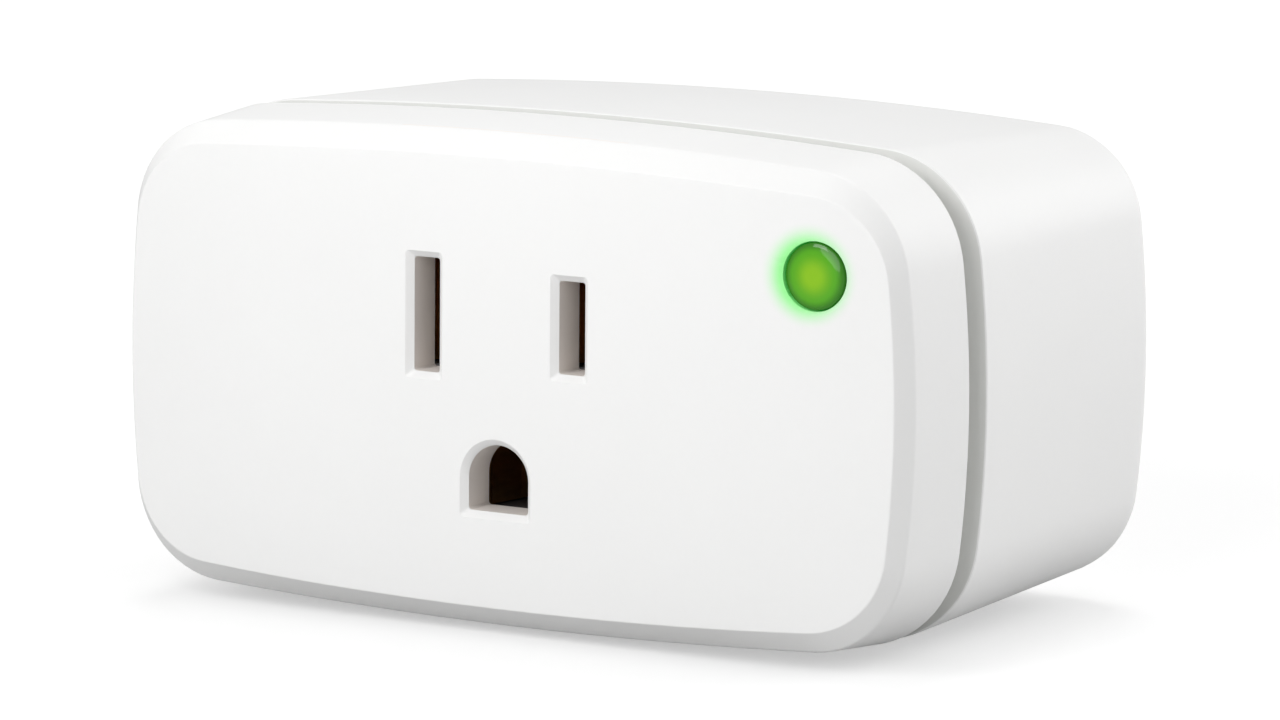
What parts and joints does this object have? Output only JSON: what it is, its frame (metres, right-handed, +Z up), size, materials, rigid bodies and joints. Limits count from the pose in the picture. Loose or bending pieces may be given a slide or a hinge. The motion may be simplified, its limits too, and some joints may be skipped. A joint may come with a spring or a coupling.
{
  "type": "smart plug",
  "caption": "Compact wall smart plug: grounded blades on the back, a switched receptacle and a lit push button on a pillow-shaped white case with a shadow gap.",
  "frame": {"origin": "on the flat wall face of the rear housing, midway between the two blades on their centre line", "axes": "+X to the right seen from the front, +Y out of the wall face along the blades, +Z up"},
  "size_m": [0.0698, 0.0615, 0.0383],
  "materials": {
    "case_plastic": "fine satin white moulding",
    "label_film": "blank grey film",
    "button_plastic": "translucent, lit green from behind",
    "black_plastic": "moulded black",
    "circuit_board": "green solder mask over glass laminate",
    "brass": "stamped strip",
    "nickel_plate": "nickel plated",
    "steel": "zinc plated",
    "copper": "enamelled copper and copper alloy",
    "relay_plastic": "moulded blue",
    "white_plastic": "moulded off-white",
    "yellow_plastic": "moulded yellow",
    "blue_coating": "dipped epoxy",
    "capacitor_sleeve": "shrink sleeve"
  },
  "bodies": {
    "case": {"blade_block": "black_plastic", "board_header": "black_plastic", "bulk_capacitor_1": "capacitor_sleeve", "bulk_capacitor_2": "capacitor_sleeve", "case_screw_1": "steel", "case_screw_2": "steel", "case_screw_3": "steel", "case_screw_4": "steel", "choke_core": "black_plastic", "choke_winding": "copper", "contact_carrier": "black_plastic", "control_board": "circuit_board", "converter_chip": "black_plastic", "front_cover": "case_plastic", "fuse": "white_plastic", "ground_contact": "brass", "ground_pin": "nickel_plate", "ground_strap": "brass", "line_blade": "nickel_plate", "line_contact": "brass", "line_strap": "brass", "main_board": "circuit_board", "metering_chip": "black_plastic", "neutral_blade": "nickel_plate", "neutral_contact": "brass", "neutral_strap": "brass", "output_capacitor": "capacitor_sleeve", "radio_chip": "black_plastic", "radio_shield": "steel", "rating_label": "label_film", "rear_housing": "case_plastic", "rectifier": "black_plastic", "relay_base": "black_plastic", "relay_bobbin": "white_plastic", "relay_coil": "copper", "relay_core": "steel", "relay_cover": "relay_plastic", "relay_fixed_contact": "copper", "relay_yoke": "steel", "shunt_resistor": "steel", "status_led": "yellow_plastic", "tact_switch_body": "black_plastic", "varistor": "blue_coating", "x2_capacitor": "yellow_plastic"},
    "button": {"button_cap": "button_plastic"},
    "plunger": {"tact_switch_plunger": "white_plastic"},
    "armature": {"relay_armature": "steel", "relay_moving_contact": "copper"}
  },
  "joints": [
    {"name": "button_press", "type": "slide", "parent": "case", "child": "button", "axis": [0, 1, 0], "range_m": [0, 0.0003], "stiffness_N_per_m": 900},
    {"name": "plunger_press", "type": "slide", "parent": "case", "child": "plunger", "axis": [0, 1, 0], "range_m": [0, 0.0003]},
    {"name": "armature_swing", "type": "hinge", "parent": "case", "child": "armature", "pos_m": [-0.0154, -0.02205, -0.00466], "axis": [0, 0, -1], "range_deg": [0, 3.8], "stiffness_Nm_per_rad": 0.02}
  ],
  "couplings": [
    {"joint": "plunger_press", "follows": "button_press", "ratio": 1}
  ]
}
